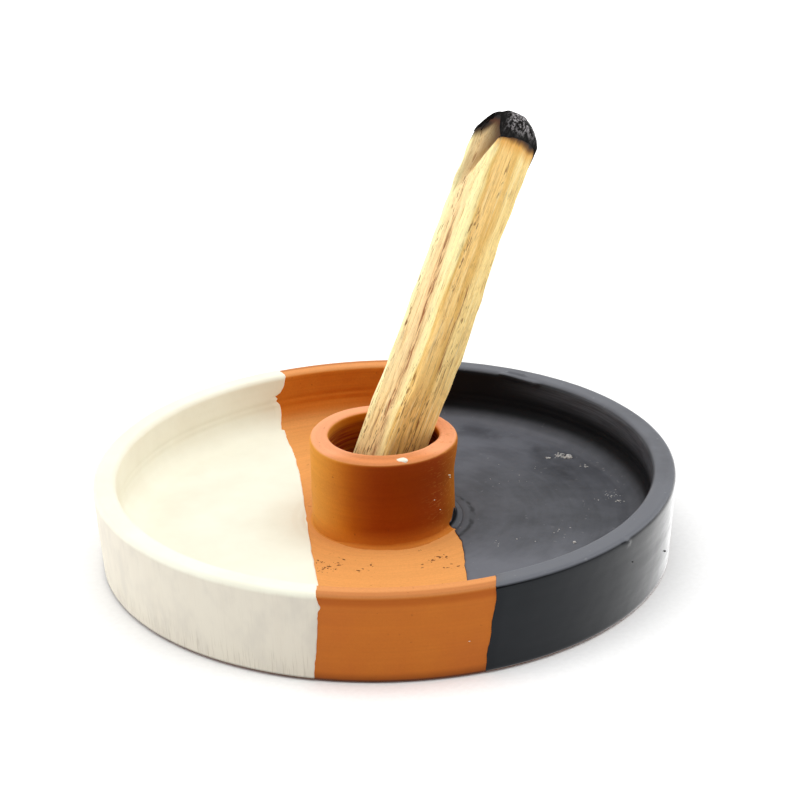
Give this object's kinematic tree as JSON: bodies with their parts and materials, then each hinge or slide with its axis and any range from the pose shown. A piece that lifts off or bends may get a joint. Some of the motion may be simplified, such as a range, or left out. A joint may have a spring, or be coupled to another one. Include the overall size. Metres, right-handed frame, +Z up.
{
  "type": "palo santo holder",
  "caption": "Round clay dish with a raised socket in its middle that holds a leaning palo santo stick and catches its ash.",
  "frame": {"origin": "middle of the flat underside, on the table", "axes": "+Z up through the socket; -Y is the side that faces the viewer, with the cream coat towards -X and the black coat towards +X"},
  "size_m": [0.1206, 0.12, 0.088],
  "materials": {
    "terracotta": "fired bare clay, fine turning marks, low satin",
    "terracotta_slip": "smoothed slip",
    "cream_coat": "matte brushed coat",
    "black_coat": "satin brushed coat",
    "palo_santo_wood": "hand-split, raw",
    "char": "burnt, matte, with grey ash"
  },
  "bodies": {
    "holder": {"dish": "terracotta", "socket_cup": "terracotta", "luting_seam": "terracotta_slip", "cream_coat": "cream_coat", "black_coat": "black_coat"},
    "stick": {"palo_santo_stick": "palo_santo_wood", "charred_tip": "char"}
  },
  "joints": [
    {"name": "stick_lift", "type": "slide", "parent": "holder", "child": "stick", "axis": [0.3661, 0.2114, 0.9063], "range_m": [0, 0.06]}
  ]
}
